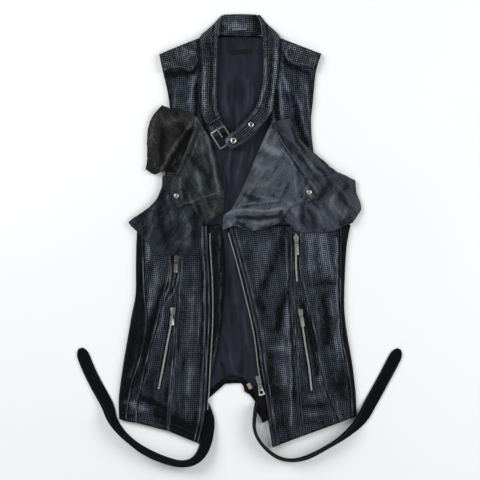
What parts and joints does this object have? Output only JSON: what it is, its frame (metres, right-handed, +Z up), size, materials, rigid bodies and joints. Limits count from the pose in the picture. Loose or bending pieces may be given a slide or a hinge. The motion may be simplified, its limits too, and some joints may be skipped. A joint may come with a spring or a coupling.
{
  "type": "sleeveless leather biker vest laid flat",
  "caption": "Sleeveless black leather biker vest lying open on its back, with folded lapels, raw-edged facings, buckled collar, zip pockets and loose waist straps.",
  "frame": {"origin": "centre of the footprint, on the surface the vest lies on", "axes": "+X towards the wearer's left, +Y from hem to collar, +Z up from the surface"},
  "size_m": [0.6518, 0.9058, 0.0252],
  "materials": {
    "perforated_leather": "black leather with a fine grid of punched dots, worn grey on the high places",
    "plain_leather": "plain smooth black leather, semi-matt",
    "smooth_leather": "soft matt charcoal leather with raw edges",
    "lining_cloth": "dark navy lining cloth with a soft sheen",
    "label_cloth": "blank black woven label",
    "tab_cloth": "blank pale woven tab",
    "zip_tape": "black woven zip tape",
    "zip_teeth": "aged nickel teeth",
    "bright_metal": "worn nickel plate"
  },
  "bodies": {
    "vest": {"back_body": "plain_leather", "back_lining": "lining_cloth", "back_hem_facing": "plain_leather", "placket_facing": "plain_leather", "front_upper_right": "perforated_leather", "side_panel_right": "plain_leather", "side_front_right": "perforated_leather", "pocket_insert_right": "perforated_leather", "centre_front_right": "perforated_leather", "front_upper_left": "perforated_leather", "side_panel_left": "plain_leather", "side_front_left": "perforated_leather", "pocket_insert_left": "perforated_leather", "centre_front_left": "perforated_leather", "collar_band_right": "perforated_leather", "collar_band_left": "perforated_leather", "collar_stand": "perforated_leather", "collar_keeper": "perforated_leather", "hanger_loop": "plain_leather", "neck_label": "label_cloth", "shoulder_flap_right": "perforated_leather", "shoulder_flap_left": "perforated_leather", "facing_flap_upper_right": "smooth_leather", "facing_flap_lower_right": "smooth_leather", "facing_flap_left": "smooth_leather", "lapel_right": "smooth_leather", "lapel_left": "smooth_leather", "waist_strap_right": "plain_leather", "waist_strap_left": "plain_leather", "zip_chain_upper_right": "zip_teeth", "zip_chain_lower_right": "zip_teeth", "zip_chain_upper_left": "zip_teeth", "zip_chain_lower_left": "zip_teeth", "zip_chain_front_right": "zip_teeth", "zip_chain_front_left": "zip_teeth", "zip_slider_front_left": "bright_metal", "zip_slider_upper_right": "bright_metal", "zip_slider_lower_right": "bright_metal", "zip_slider_upper_left": "bright_metal", "zip_slider_lower_left": "bright_metal", "zip_tape_tail": "zip_tape", "care_tab": "tab_cloth", "lapel_snap_right": "bright_metal", "lapel_snap_left": "bright_metal", "flap_snap_right": "plain_leather", "flap_snap_left": "plain_leather", "eyelet_front": "bright_metal", "eyelet_side": "bright_metal", "buckle_frame": "bright_metal", "buckle_prong": "bright_metal"},
    "pull_front_left": {"zip_pull_front_left": "bright_metal"},
    "pull_upper_right": {"zip_pull_upper_right": "bright_metal"},
    "pull_lower_right": {"zip_pull_lower_right": "bright_metal"},
    "pull_upper_left": {"zip_pull_upper_left": "bright_metal"},
    "pull_lower_left": {"zip_pull_lower_left": "bright_metal"}
  },
  "joints": [
    {"name": "turn_pull_front_left", "type": "hinge", "parent": "vest", "child": "pull_front_left", "pos_m": [0.03828, -0.28175, 0.0124], "axis": [-0.9744, -0.225, 0], "range_deg": [0, 170]},
    {"name": "turn_pull_upper_right", "type": "hinge", "parent": "vest", "child": "pull_upper_right", "pos_m": [-0.12621, -0.04075, 0.01502], "axis": [-0.9976, 0.0698, 0], "range_deg": [0, 170]},
    {"name": "turn_pull_lower_right", "type": "hinge", "parent": "vest", "child": "pull_lower_right", "pos_m": [-0.13372, -0.14475, 0.01492], "axis": [-0.9976, 0.0698, 0], "range_deg": [0, 170]},
    {"name": "turn_pull_upper_left", "type": "hinge", "parent": "vest", "child": "pull_upper_left", "pos_m": [0.11328, -0.00075, 0.01485], "axis": [-0.9986, -0.0523, 0], "range_deg": [0, 170]},
    {"name": "turn_pull_lower_left", "type": "hinge", "parent": "vest", "child": "pull_lower_left", "pos_m": [0.12229, -0.14774, 0.01485], "axis": [-0.9848, -0.1736, 0], "range_deg": [0, 170]}
  ]
}
